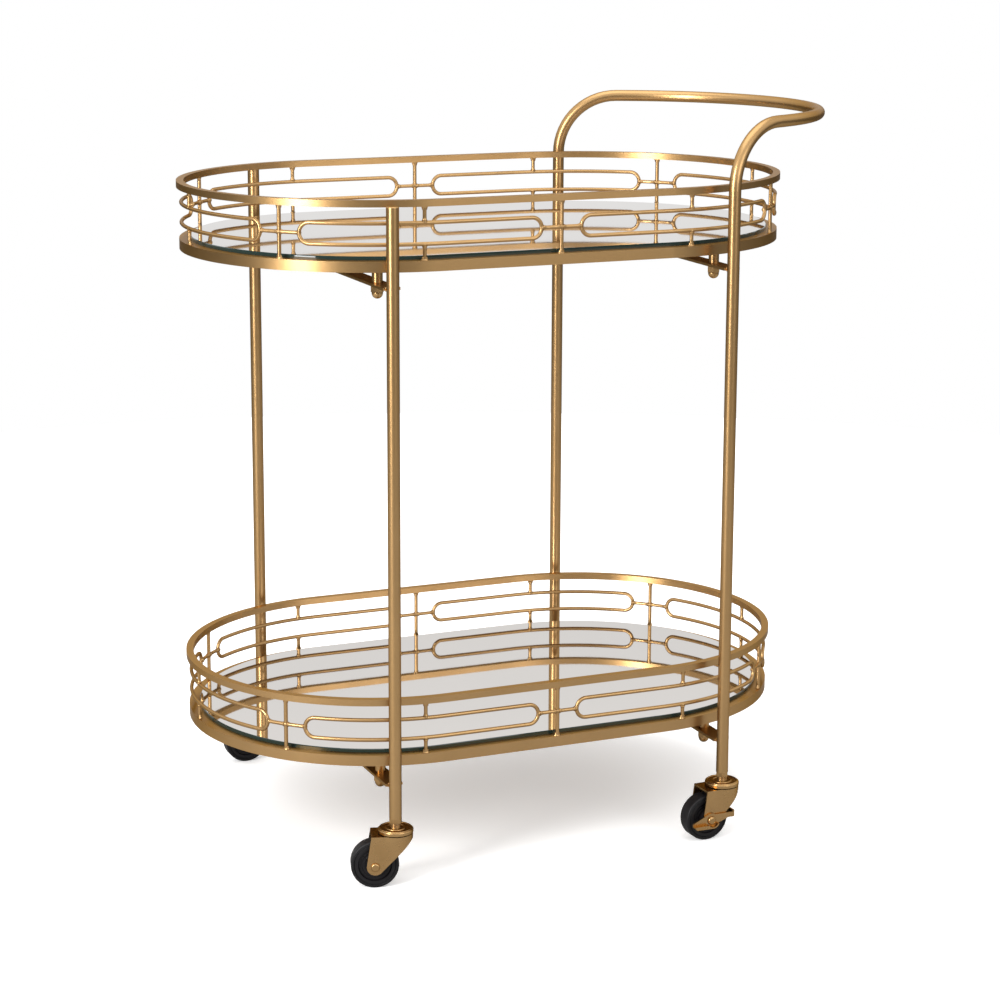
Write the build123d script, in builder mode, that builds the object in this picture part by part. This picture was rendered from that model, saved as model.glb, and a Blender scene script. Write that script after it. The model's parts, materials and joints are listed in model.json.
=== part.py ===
from build123d import *

import os
from math import cos, pi, radians, sin, sqrt

# Oval two-tier bar cart on four swivel casters, in millimetres.
# +Z is up and +X points to the push handle. The origin is on the floor, under the
# middle of the cart's overall length and between its front (-Y) and back (+Y) legs.

# --- Driving dimensions: oval shelves ---
rail_half_length = 363.0  # outer face of a top rail along X
rail_end_radius = 226.0  # outer face of its round ends, and so its half width
rail_width = 8.5
rail_height = 7.5
ring_inset = 2.5  # base ring's outer face, inside the rail's
ring_size = 12.0  # square tube
ring_wall = 1.2
vent_diameter = 4.0  # vent in the ring's inner wall
gallery_opening = 58.5  # from the ring's top to the rail's underside
lower_rail_top = 209.0
shelf_spacing = 555.0
panel_thickness = 1.5
mirror_thickness = 4.0
mirror_inset = 0.5  # mirror's edge, inside the ring's inner face
strap_width = 25.0
strap_thickness = 3.0

# --- Driving dimensions: gallery wires ---
wire_diameter = 4.5
brace_diameter = 4.2  # connectors and stubs, set into the other wires
wire_inset = 5.5  # wires' centre line, inside the rail's outer face
post_count = 6
link_height = 23.0  # between the centre lines of a link's two long wires
link_gap = 24.0  # along the oval, from a post's axis to a link's end

# --- Driving dimensions: legs, handle and crossbars ---
leg_diameter = 14.0
leg_wall = 1.2
leg_x = 205.0  # from the shelf's centre
leg_clearance = 5.0  # leg's inner side, outside the rail's side
leg_top_drop = 4.0  # top of a short leg's cap, below the upper rail's top
cap_thickness = 1.5
cap_plug_length = 6.0
handle_height = 833.0  # tube's axis
handle_bend_radius = 73.0  # from upright to level
handle_turn = 22.5  # degrees from +X towards the other leg, where the level arc starts
crossbar_width = 20.0
crossbar_thickness = 3.0
crossbar_drop = 13.0  # crossbar's top, below the base ring

# --- Driving dimensions: shelf fasteners ---
stud_diameter = 8.0
stud_edge = 9.5  # stud's axis, inside the ring's inner face
stud_past_bar = 11.0
stud_hole_clearance = 0.5  # on the radius
spacer_diameter = 12.0
nut_across_flats = 13.0
nut_hex_height = 8.0
nut_height = 15.0
nut_dome_radius = 6.2
nut_bore_depth = 12.0

# --- Driving dimensions: casters ---
running_clearance = 0.05  # on the radius of a shaft in its hole
side_clearance = 0.3  # between faces that turn past each other
wheel_radius = 27.0
wheel_width = 18.0
tyre_depth = 6.0
tyre_edge_radius = 2.0
tyre_groove = 0.8
hub_boss_radius = 8.5
hub_recess_depth = 3.0
bush_radius = 5.0
axle_radius = 3.0
axle_head_radius = 5.0
axle_head_height = 2.5
trail = 23.4  # from the swivel's axis back to the axle
fork_half_width = 16.2
fork_sheet = 2.0
fork_back = 4.2  # top plate's back edge, behind the axle
fork_front = 19.5  # skirt's front, ahead of the swivel's axis
fork_end_radius = 9.5
wheel_top_gap = 6.0  # from the tyre to the fork's top plate
collar_radius = 19.5
collar_height = 5.0
race_gap = 4.0  # from the fork's top to the swivel plate
ball_diameter = 3.6
ball_circle_radius = 14.5
ball_count = 12
plate_radius = 20.0
plate_thickness = 1.5
plate_rim_gap = 1.3  # from the fork's top to the plate's turned-down rim
stem_radius = 4.0
stem_head_radius = 6.5
stem_head_height = 2.0
stem_collar_radius = 5.5
stem_collar_height = 5.5
stem_in_leg = 22.0
insert_length = 25.0
jam_nut_across_flats = 13.0
jam_nut_height = 5.0

# --- Driving dimensions: brake levers ---
lever_sheet = 2.0
lever_hub_radius = 8.5
lever_tail = (-20.0, -4.0, 4.0)  # place from the axle and radius
lever_arm = (22.0, 3.7, 3.0)
lever_ledge_depth = 5.0
lever_ledge_sheet = 1.6
shoe_clearance = 1.5  # brake shoe, off the tread
shoe_sheet = 2.0
shoe_width = 8.0
shoe_reach = 14.0  # how far the shoe folds in over the tread

# Each caster's place as signs of X and Y, its resting heading and whether it has a brake.
casters = {
    "front_left": (-1, -1, -18.0, False),
    "front_right": (1, -1, 2.0, True),
    "back_left": (-1, 1, 0.0, False),
    "back_right": (1, 1, 10.0, True),
}

# --- Worked-out sizes ---
straight_half = rail_half_length - rail_end_radius
wire_radius = wire_diameter / 2
wire_bend = rail_end_radius - wire_inset
oval_length = 4 * straight_half + 2 * pi * wire_bend
bay = oval_length / post_count
leg_y = rail_end_radius + leg_clearance + leg_diameter / 2
turn_cos = cos(radians(handle_turn))
turn_sin = sin(radians(handle_turn))
handle_radius = (leg_y - handle_bend_radius * turn_sin) / turn_cos
handle_reach = leg_x + handle_bend_radius * turn_cos + handle_radius * (1 - turn_sin)
shelf_x = (rail_half_length - handle_reach - leg_diameter / 2) / 2
ring_inner = ring_inset + ring_size
shelf_depth = rail_height + gallery_opening + ring_size
upper_rail_top = lower_rail_top + shelf_spacing
shelf_tops = {"lower": lower_rail_top, "upper": upper_rail_top}
stem_radius_out = stem_radius + running_clearance
fork_top = 2 * wheel_radius + wheel_top_gap + fork_sheet
plate_bottom = fork_top + race_gap
plate_top = plate_bottom + plate_thickness
jam_nut_bottom = plate_top + stem_collar_height
leg_bottom = jam_nut_bottom + jam_nut_height
cheek_inner = fork_half_width - fork_sheet

os.makedirs("parts", exist_ok=True)


def save(part, name):
    """Label one finished node and write its STEP file."""
    part.label = name
    export_step(part, f"parts/{name}.step")


def oval(inset):
    """Overall length and width of the shelf's oval, a distance inside the rail's face."""
    return 2 * (rail_half_length - inset), 2 * (rail_end_radius - inset)


def oval_half_width(x, inset):
    """Half width of that oval at a distance x from the shelf's centre."""
    past = max(abs(x) - straight_half, 0.0)
    return sqrt((rail_end_radius - inset) ** 2 - past**2)


def along_oval(distance):
    """Point of the wires' centre line, from the middle of the front side towards +X."""
    s = distance % oval_length
    arc = pi * wire_bend
    if s < straight_half:
        return Vector(shelf_x + s, -wire_bend)
    s -= straight_half
    if s < arc:
        turn = s / wire_bend
        return Vector(shelf_x + straight_half + wire_bend * sin(turn), -wire_bend * cos(turn))
    s -= arc
    if s < 2 * straight_half:
        return Vector(shelf_x + straight_half - s, wire_bend)
    s -= 2 * straight_half
    if s < arc:
        turn = s / wire_bend
        return Vector(shelf_x - straight_half - wire_bend * sin(turn), wire_bend * cos(turn))
    return Vector(shelf_x - straight_half + s - arc, -wire_bend)


def run_along_oval(start, end, z):
    """Lines and arcs of the wires' centre line between two distances, at height z."""
    arc = pi * wire_bend
    joins = [straight_half, straight_half + arc, 3 * straight_half + arc]
    joins += [3 * straight_half + 2 * arc]
    joins += [oval_length + join for join in joins]
    stops = [start] + [join for join in joins if start < join < end] + [end]
    for low, high in zip(stops, stops[1:]):
        first = along_oval(low) + Vector(0, 0, z)
        middle = along_oval((low + high) / 2) + Vector(0, 0, z)
        last = along_oval(high) + Vector(0, 0, z)
        if abs((middle - (first + last) / 2).length) < 0.001:
            Line(first, last)
        else:
            ThreePointArc(first, middle, last)


def make_shelf(name, rail_top):
    """One shelf: top rail, gallery wires, base ring, panel, straps and mirror."""
    rail_bottom = rail_top - rail_height
    ring_top = rail_bottom - gallery_opening
    ring_bottom = ring_top - ring_size
    wire_middle = (rail_bottom + ring_top) / 2
    centre = (shelf_x, 0)

    with BuildPart() as top_rail:
        with BuildSketch(Plane.XY.offset(rail_bottom)):
            with Locations(centre):
                SlotOverall(*oval(0))
                SlotOverall(*oval(rail_width), mode=Mode.SUBTRACT)
        extrude(amount=rail_height)
    save(top_rail.part, f"{name}_top_rail")

    with BuildPart() as base_ring:
        with BuildSketch(Plane.XY.offset(ring_bottom)):
            with Locations(centre):
                SlotOverall(*oval(ring_inset))
                SlotOverall(*oval(ring_inner), mode=Mode.SUBTRACT)
        extrude(amount=ring_size)
        with BuildSketch(Plane.XY.offset(ring_bottom + ring_wall)):
            with Locations(centre):
                SlotOverall(*oval(ring_inset + ring_wall))
                SlotOverall(*oval(ring_inner - ring_wall), mode=Mode.SUBTRACT)
        extrude(amount=ring_size - 2 * ring_wall, mode=Mode.SUBTRACT)
        vent_plane = Plane((shelf_x, 0, ring_bottom + ring_size / 2), z_dir=(0, 1, 0))
        with BuildSketch(vent_plane):
            Circle(vent_diameter / 2)
        extrude(amount=rail_end_radius - ring_inner + ring_size / 2, both=True, mode=Mode.SUBTRACT)
    save(base_ring.part, f"{name}_base_ring")

    posts_at = [bay * i for i in range(post_count)]
    with BuildPart() as posts:
        with BuildSketch(Plane.XY.offset(ring_top)):
            with Locations(*[along_oval(s) for s in posts_at]):
                Circle(wire_radius)
        extrude(amount=gallery_opening)
    save(posts.part, f"{name}_posts")

    with BuildPart() as links:
        for post_at in posts_at:
            add(make_link(post_at + link_gap, post_at + bay - link_gap, wire_middle))
    save(links.part, f"{name}_links")

    with BuildPart() as connectors:
        for post_at in posts_at:
            for end_at in (post_at - link_gap, post_at + link_gap):
                start = along_oval(post_at) + Vector(0, 0, wire_middle)
                end = along_oval(end_at) + Vector(0, 0, wire_middle)
                with BuildSketch(Plane(start, z_dir=end - start)):
                    Circle(brace_diameter / 2)
                extrude(amount=(end - start).length)
        add(posts.part, mode=Mode.SUBTRACT)
        add(links.part, mode=Mode.SUBTRACT)
    save(connectors.part, f"{name}_connectors")

    with BuildPart() as stubs:
        middles = [along_oval(post_at + bay / 2) for post_at in posts_at]
        half = link_height / 2
        for height, reach in ((wire_middle + half, rail_bottom), (wire_middle - half, ring_top)):
            with BuildSketch(Plane.XY.offset(height)):
                with Locations(*middles):
                    Circle(brace_diameter / 2)
            extrude(amount=reach - height)
        add(links.part, mode=Mode.SUBTRACT)
    save(stubs.part, f"{name}_stubs")

    with BuildPart() as panel:
        with BuildSketch(Plane.XY.offset(ring_top - panel_thickness)):
            with Locations(centre):
                SlotOverall(*oval(ring_inner))
        extrude(amount=panel_thickness)
    save(panel.part, f"{name}_panel")

    with BuildPart() as straps:
        with BuildSketch(Plane.XY.offset(ring_bottom)):
            with Locations((shelf_x - leg_x, 0), (shelf_x + leg_x, 0)):
                Rectangle(strap_width, 2 * rail_end_radius)
            with Locations(centre):
                SlotOverall(*oval(ring_inner), mode=Mode.INTERSECT)
        extrude(amount=strap_thickness)
    save(straps.part, f"{name}_straps")

    with BuildPart() as mirror:
        with BuildSketch(Plane.XY.offset(ring_top)):
            with Locations(centre):
                SlotOverall(*oval(ring_inner + mirror_inset))
        extrude(amount=mirror_thickness)
        chamfer(mirror.edges().group_by(Axis.Z)[-1], length=0.8)
    save(mirror.part, f"{name}_mirror")


def make_link(start, end, z):
    """One oblong wire loop that follows the oval between two distances."""
    half = link_height / 2
    low, high = start + half, end - half
    up = Vector(0, 0, half)
    level = Vector(0, 0, z)
    with BuildPart(mode=Mode.PRIVATE) as link:
        with BuildLine() as loop:
            run_along_oval(low, high, z - half)
            heading = (along_oval(high + 0.1) - along_oval(high - 0.1)).normalized()
            tip = along_oval(high) + level
            ThreePointArc(tip - up, tip + heading * half, tip + up)
            run_along_oval(low, high, z + half)
            heading = (along_oval(low + 0.1) - along_oval(low - 0.1)).normalized()
            tip = along_oval(low) + level
            ThreePointArc(tip + up, tip - heading * half, tip - up)
        for edge in loop.edges():
            with BuildSketch(Plane(edge @ 0, z_dir=edge % 0)):
                Circle(wire_radius)
            sweep(path=edge)
    return link.part


def make_legs():
    """Short left legs with caps, the bent tube with both right legs, and the inserts."""
    leg_top = upper_rail_top - leg_top_drop - cap_thickness
    inner_radius = leg_diameter / 2 - leg_wall
    left_x = shelf_x - leg_x
    for name, y in (("leg_front_left", -leg_y), ("leg_back_left", leg_y)):
        with BuildPart() as leg:
            with BuildSketch(Plane((left_x, y, leg_bottom))):
                Circle(leg_diameter / 2)
                Circle(inner_radius, mode=Mode.SUBTRACT)
            extrude(amount=leg_top - leg_bottom)
        save(leg.part, name)

    with BuildPart() as caps:
        with BuildSketch(Plane.XY.offset(leg_top)):
            with Locations((left_x, -leg_y), (left_x, leg_y)):
                Circle(leg_diameter / 2)
        extrude(amount=cap_thickness)
        fillet(caps.edges().group_by(Axis.Z)[-1], radius=0.8 * cap_thickness)
        with BuildSketch(Plane.XY.offset(leg_top)):
            with Locations((left_x, -leg_y), (left_x, leg_y)):
                Circle(inner_radius)
        extrude(amount=-cap_plug_length)
    save(caps.part, "leg_top_caps")

    right_x = shelf_x + leg_x
    bend_bottom = handle_height - handle_bend_radius
    level_out = handle_bend_radius
    half_out = handle_bend_radius * (1 - cos(pi / 4))
    half_up = bend_bottom + handle_bend_radius * sin(pi / 4)

    def bend_point(side, out, z):
        """Point of one upright bend: out from its leg towards the level arc, at height z."""
        return right_x + out * turn_cos, side * (leg_y - out * turn_sin), z

    front_top = bend_point(-1, level_out, handle_height)
    back_top = bend_point(1, level_out, handle_height)
    with BuildPart() as handle_frame:
        with BuildLine() as route:
            Line((right_x, -leg_y, leg_bottom), (right_x, -leg_y, bend_bottom))
            front_half = bend_point(-1, half_out, half_up)
            ThreePointArc((right_x, -leg_y, bend_bottom), front_half, front_top)
            ThreePointArc(front_top, (shelf_x + handle_reach, 0, handle_height), back_top)
            back_half = bend_point(1, half_out, half_up)
            ThreePointArc(back_top, back_half, (right_x, leg_y, bend_bottom))
            Line((right_x, leg_y, bend_bottom), (right_x, leg_y, leg_bottom))
        with BuildSketch(Plane((right_x, -leg_y, leg_bottom))):
            Circle(leg_diameter / 2)
            Circle(inner_radius, mode=Mode.SUBTRACT)
        sweep(path=route.wire())
    save(handle_frame.part, "handle_frame")

    with BuildPart() as inserts:
        with BuildSketch(Plane.XY.offset(leg_bottom)):
            with Locations(*caster_points()):
                Circle(inner_radius)
                Circle(stem_radius_out, mode=Mode.SUBTRACT)
        extrude(amount=insert_length)
    save(inserts.part, "leg_inserts")


def caster_points():
    """Swivel axes of the four casters, in the order of their table."""
    return [(shelf_x + side * leg_x, depth * leg_y) for side, depth, *_ in casters.values()]


def stud_points():
    """The four studs of one shelf, over its crossbars."""
    stud_y = oval_half_width(leg_x, ring_inner) - stud_edge
    return [(shelf_x + side * leg_x, depth * stud_y) for side, depth, *_ in casters.values()]


def make_crossbars():
    """Flat bars between a front and a back leg, with the studs, spacers and acorn nuts."""
    for level, rail_top in shelf_tops.items():
        bar_bottom = rail_top - shelf_depth - crossbar_drop - crossbar_thickness
        for side_name, side in (("left", -1), ("right", 1)):
            bar_x = shelf_x + side * leg_x
            with BuildPart() as crossbar:
                with BuildSketch(Plane.XY.offset(bar_bottom)):
                    with Locations((bar_x, 0)):
                        Rectangle(crossbar_width, 2 * leg_y)
                    with Locations((bar_x, -leg_y), (bar_x, leg_y)):
                        Circle(leg_diameter / 2, mode=Mode.SUBTRACT)
                        Rectangle(crossbar_width, leg_diameter / 2, mode=Mode.SUBTRACT)
                    with Locations(*[p for p in stud_points() if abs(p[0] - bar_x) < leg_x]):
                        Circle(stud_diameter / 2 + stud_hole_clearance, mode=Mode.SUBTRACT)
                extrude(amount=crossbar_thickness)
            save(crossbar.part, f"crossbar_{level}_{side_name}")

    with BuildPart(mode=Mode.PRIVATE) as nut:
        corner_radius = nut_across_flats / sqrt(3)
        with BuildSketch(Plane.XZ):
            with BuildLine():
                Polyline((0, 0), (corner_radius - 0.8, 0), (corner_radius, -0.8))
                Polyline((corner_radius, -0.8), (corner_radius, 0.8 - nut_hex_height))
                Line((corner_radius, 0.8 - nut_hex_height), (nut_dome_radius, -nut_hex_height))
                dome_start = nut_dome_radius - nut_height
                Line((nut_dome_radius, -nut_hex_height), (nut_dome_radius, dome_start))
                slant = nut_dome_radius * cos(pi / 4)
                ThreePointArc((nut_dome_radius, dome_start), (slant, dome_start - slant), (0, -nut_height))
                Line((0, -nut_height), (0, 0))
            make_face()
        revolve(axis=Axis.Z)
        with BuildSketch(Plane.XY.offset(-nut_height)):
            RegularPolygon(nut_across_flats / 2, 6, major_radius=False)
        extrude(amount=nut_height, mode=Mode.INTERSECT)
        with BuildSketch(Plane.XY):
            Circle(stud_diameter / 2 + running_clearance)
        extrude(amount=-nut_bore_depth, mode=Mode.SUBTRACT)

    with BuildPart() as studs:
        for rail_top in shelf_tops.values():
            ring_bottom = rail_top - shelf_depth
            with BuildSketch(Plane.XY.offset(ring_bottom)):
                with Locations(*stud_points()):
                    Circle(stud_diameter / 2)
            extrude(amount=-(crossbar_drop + crossbar_thickness + stud_past_bar))
    save(studs.part, "shelf_studs")

    with BuildPart() as spacers:
        for rail_top in shelf_tops.values():
            with BuildSketch(Plane.XY.offset(rail_top - shelf_depth)):
                with Locations(*stud_points()):
                    Circle(spacer_diameter / 2)
                    Circle(stud_diameter / 2 + running_clearance, mode=Mode.SUBTRACT)
            extrude(amount=-crossbar_drop)
    save(spacers.part, "shelf_spacers")

    with BuildPart() as nuts:
        for rail_top in shelf_tops.values():
            bar_bottom = rail_top - shelf_depth - crossbar_drop - crossbar_thickness
            with Locations(*[(x, y, bar_bottom) for x, y in stud_points()]):
                add(nut.part)
    save(nuts.part, "acorn_nuts")


def make_stems():
    """The caster pieces that stay fixed to the legs: stems, jam nuts and swivel plates."""
    points = caster_points()
    head_top = fork_top - fork_sheet - side_clearance
    with BuildPart() as stems:
        steps = (
            (head_top - stem_head_height, head_top, stem_head_radius),
            (head_top, leg_bottom + stem_in_leg, stem_radius),
            (plate_top, jam_nut_bottom, stem_collar_radius),
        )
        for low, high, radius in steps:
            with BuildSketch(Plane.XY.offset(low)):
                with Locations(*points):
                    Circle(radius)
            extrude(amount=high - low)
    save(stems.part, "caster_stems")

    with BuildPart() as jam_nuts:
        with BuildSketch(Plane.XY.offset(jam_nut_bottom)):
            with Locations(*points):
                RegularPolygon(jam_nut_across_flats / 2, 6, major_radius=False)
                Circle(stem_radius_out, mode=Mode.SUBTRACT)
        extrude(amount=jam_nut_height)
    save(jam_nuts.part, "caster_jam_nuts")

    with BuildPart() as plates:
        with BuildSketch(Plane.XY.offset(fork_top + plate_rim_gap)):
            with Locations(*points):
                Circle(plate_radius)
        extrude(amount=plate_top - fork_top - plate_rim_gap)
        fillet(plates.edges().group_by(Axis.Z)[-1], radius=plate_thickness)
        with BuildSketch(Plane.XY.offset(fork_top + plate_rim_gap)):
            with Locations(*points):
                Circle(plate_radius - plate_thickness)
        extrude(amount=race_gap - plate_rim_gap, mode=Mode.SUBTRACT)
        with BuildSketch(Plane.XY.offset(fork_top)):
            with Locations(*points):
                Circle(stem_radius_out)
        extrude(amount=plate_top - fork_top, mode=Mode.SUBTRACT)
    save(plates.part, "swivel_plates")


def make_fork(base, corner):
    """Folded sheet fork with its round race collar, below one swivel plate."""
    side = Plane(base.origin, x_dir=base.x_dir, z_dir=-base.y_dir)
    skirt_centre = (fork_front - fork_half_width, 0)
    plate_back = trail + fork_back
    lowest = wheel_radius - fork_end_radius
    with BuildPart() as fork:
        with BuildSketch(base.offset(lowest)):
            with Locations((skirt_centre[0] / 2 - plate_back / 2 - fork_half_width, 0)):
                Rectangle(skirt_centre[0] + plate_back + 2 * fork_half_width, 2 * fork_half_width)
            with Locations(skirt_centre):
                Circle(fork_half_width)
        extrude(amount=fork_top - lowest)
        with BuildSketch(side) as profile:
            with Locations((-trail, wheel_radius)):
                Circle(fork_end_radius)
            with BuildLine():
                Polyline(
                    (-plate_back, fork_top - collar_height),
                    (-plate_back, fork_top),
                    (fork_front, fork_top),
                    (fork_front, fork_top - collar_height),
                    close=True,
                )
            make_face()
            make_hull()
        extrude(amount=2 * fork_half_width, both=True, mode=Mode.INTERSECT)
        with BuildSketch(base.offset(fork_top - collar_height)):
            Circle(collar_radius)
        extrude(amount=collar_height)
        with BuildSketch(base.offset(lowest)):
            with Locations((skirt_centre[0] / 2 - plate_back / 2 - fork_half_width, 0)):
                Rectangle(skirt_centre[0] + plate_back + 2 * fork_half_width, 2 * cheek_inner)
            with Locations(skirt_centre):
                Circle(cheek_inner)
        extrude(amount=fork_top - fork_sheet - lowest, mode=Mode.SUBTRACT)
        with BuildSketch(base.offset(fork_top - collar_height)):
            Circle(collar_radius - fork_sheet)
        extrude(amount=collar_height - fork_sheet, mode=Mode.SUBTRACT)
        with BuildSketch(base.offset(fork_top)):
            Circle(stem_radius_out)
        extrude(amount=-fork_sheet, mode=Mode.SUBTRACT)
        with BuildSketch(side):
            with Locations((-trail, wheel_radius)):
                Circle(axle_radius)
        extrude(amount=2 * fork_half_width, both=True, mode=Mode.SUBTRACT)
    save(fork.part, f"fork_{corner}")


def make_axle(base, corner, braked):
    """Domed rivet through the cheeks and, where there is one, the brake lever."""
    lever_space = side_clearance + lever_sheet + side_clearance if braked else 0.0
    axle_plane = base.offset(wheel_radius)
    start = fork_half_width + lever_space
    end = fork_half_width
    centre = axle_plane.from_local_coords(Vector(-trail, 0, 0))
    turn_plane = Plane(centre, x_dir=base.x_dir, z_dir=-base.y_dir)
    with BuildPart() as axle:
        with BuildSketch(turn_plane.offset(-end)):
            Circle(axle_radius)
        extrude(amount=start + end)
        for face_at, direction in ((start, 1), (-end, -1)):
            with BuildSketch(turn_plane.offset(face_at)):
                Circle(axle_head_radius)
            extrude(amount=direction * axle_head_height)
        fillet(axle.edges().filter_by(GeomType.CIRCLE).sort_by(Axis(centre, -base.y_dir))[-1], radius=2.2)
        fillet(axle.edges().filter_by(GeomType.CIRCLE).sort_by(Axis(centre, -base.y_dir))[0], radius=2.2)
    save(axle.part, f"axle_{corner}")


def make_wheel(base, corner):
    """Bush, hub and tyre of one wheel, turned about its axle."""
    centre = base.offset(wheel_radius).from_local_coords(Vector(-trail, 0, 0))
    across = Plane(centre, x_dir=base.x_dir, z_dir=base.z_dir)
    section = Plane(centre, x_dir=base.y_dir, z_dir=-base.x_dir)
    spin = Axis(centre, base.y_dir)
    tyre_inner = wheel_radius - tyre_depth
    half = wheel_width / 2
    boss_half = cheek_inner - 2 * side_clearance

    with BuildPart() as bush:
        with BuildSketch(Plane(centre, x_dir=base.x_dir, z_dir=base.y_dir)):
            Circle(bush_radius)
            Circle(axle_radius + running_clearance, mode=Mode.SUBTRACT)
        extrude(amount=cheek_inner - side_clearance, both=True)
    save(bush.part, f"bush_{corner}")

    with BuildPart() as hub:
        with BuildSketch(section):
            with BuildLine():
                Polyline(
                    (-boss_half, bush_radius),
                    (-boss_half, hub_boss_radius - 1.0),
                    (-half, hub_boss_radius),
                    (hub_recess_depth - half, hub_boss_radius),
                    (hub_recess_depth - half, tyre_inner - 3.0),
                    (-half, tyre_inner - 2.0),
                    (-half, tyre_inner),
                    (half, tyre_inner),
                    (half, tyre_inner - 2.0),
                    (half - hub_recess_depth, tyre_inner - 3.0),
                    (half - hub_recess_depth, hub_boss_radius),
                    (half, hub_boss_radius),
                    (boss_half, hub_boss_radius - 1.0),
                    (boss_half, bush_radius),
                    close=True,
                )
            make_face()
        revolve(axis=spin)
    save(hub.part, f"wheel_hub_{corner}")

    groove_at = tyre_inner + tyre_depth * 0.4
    with BuildPart() as tyre:
        with BuildSketch(section):
            with BuildLine():
                Polyline(
                    (-half, tyre_inner),
                    (-half, groove_at - tyre_groove),
                    (tyre_groove - half, groove_at),
                    (-half, groove_at + tyre_groove),
                    (-half, wheel_radius - tyre_edge_radius),
                )
                edge = tyre_edge_radius * cos(pi / 4)
                ThreePointArc(
                    (-half, wheel_radius - tyre_edge_radius),
                    (tyre_edge_radius - half - edge, wheel_radius - tyre_edge_radius + edge),
                    (tyre_edge_radius - half, wheel_radius),
                )
                Line((tyre_edge_radius - half, wheel_radius), (half - tyre_edge_radius, wheel_radius))
                ThreePointArc(
                    (half - tyre_edge_radius, wheel_radius),
                    (half - tyre_edge_radius + edge, wheel_radius - tyre_edge_radius + edge),
                    (half, wheel_radius - tyre_edge_radius),
                )
                Polyline(
                    (half, wheel_radius - tyre_edge_radius),
                    (half, groove_at + tyre_groove),
                    (half - tyre_groove, groove_at),
                    (half, groove_at - tyre_groove),
                    (half, tyre_inner),
                    (-half, tyre_inner),
                )
            make_face()
        revolve(axis=spin)
    save(tyre.part, f"tyre_{corner}")


def make_lever(base, corner):
    """Brake lever: a stamped rocker on the axle, with a press ledge and a shoe over the tread."""
    centre = base.offset(wheel_radius).from_local_coords(Vector(-trail, 0, 0))
    turn_plane = Plane(centre, x_dir=base.x_dir, z_dir=-base.y_dir)
    plate_at = fork_half_width + side_clearance
    shoe_at = wheel_radius + shoe_clearance
    arm_x, arm_z, arm_radius = lever_arm
    tail_x, tail_z, tail_radius = lever_tail
    with BuildPart() as lever:
        with BuildSketch(turn_plane.offset(plate_at)) as outline:
            Circle(lever_hub_radius)
            with Locations((tail_x, tail_z)):
                Circle(tail_radius)
            make_hull()
        extrude(amount=lever_sheet)
        with BuildSketch(turn_plane.offset(plate_at)):
            Circle(lever_hub_radius * 0.8)
            with Locations((arm_x, arm_z)):
                Circle(arm_radius)
            make_hull()
            with Locations((arm_x + shoe_at / 2 - arm_x / 2 + shoe_sheet / 2, arm_z)):
                Rectangle(shoe_at - arm_x + shoe_sheet, 2 * arm_radius)
        extrude(amount=lever_sheet)
        with BuildSketch(turn_plane.offset(plate_at + lever_sheet)):
            with Locations((shoe_at + shoe_sheet / 2, arm_z + shoe_width / 2 - arm_radius)):
                Rectangle(shoe_sheet, shoe_width)
        extrude(amount=-(lever_sheet + shoe_reach))
        with BuildSketch(turn_plane.offset(plate_at)):
            Circle(lever_hub_radius)
            with Locations((tail_x, tail_z)):
                Circle(tail_radius)
            make_hull()
            Circle(lever_hub_radius - lever_ledge_sheet, mode=Mode.SUBTRACT)
            with Locations((0, lever_hub_radius)):
                Rectangle(4 * lever_hub_radius, 2 * lever_hub_radius + 6.0, mode=Mode.SUBTRACT)
            with Locations((tail_x, tail_z + tail_radius)):
                Rectangle(-2 * tail_x, 2 * tail_radius, mode=Mode.SUBTRACT)
        extrude(amount=lever_sheet + lever_ledge_depth)
        with BuildSketch(turn_plane.offset(plate_at)):
            Circle(axle_radius + running_clearance)
        extrude(amount=lever_sheet, mode=Mode.SUBTRACT)
    save(lever.part, f"brake_lever_{corner}")


def make_casters():
    """Four casters, each built in its own upright plane at its resting heading."""
    for corner, (side, depth, heading, braked) in casters.items():
        turn = radians(heading)
        place = (shelf_x + side * leg_x, depth * leg_y, 0)
        base = Plane(place, x_dir=(cos(turn), sin(turn), 0), z_dir=(0, 0, 1))
        make_fork(base, corner)
        make_axle(base, corner, braked)
        make_wheel(base, corner)
        if braked:
            make_lever(base, corner)

        with BuildPart() as balls:
            with Locations(base.offset(fork_top + ball_diameter / 2)):
                with PolarLocations(ball_circle_radius, ball_count):
                    Sphere(ball_diameter / 2)
        save(balls.part, f"balls_{corner}")


for shelf_name, shelf_rail_top in shelf_tops.items():
    make_shelf(shelf_name, shelf_rail_top)
make_legs()
make_crossbars()
make_stems()
make_casters()
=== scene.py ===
"""Oval two-tier bar cart on casters: its finishes, small metalwork, light and camera."""

import json
import logging
import math
from collections.abc import Iterable, Sequence
from dataclasses import dataclass, field
from enum import Enum

import bmesh
import bpy
import numpy as np
from mathutils import Euler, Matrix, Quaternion, Vector


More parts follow.
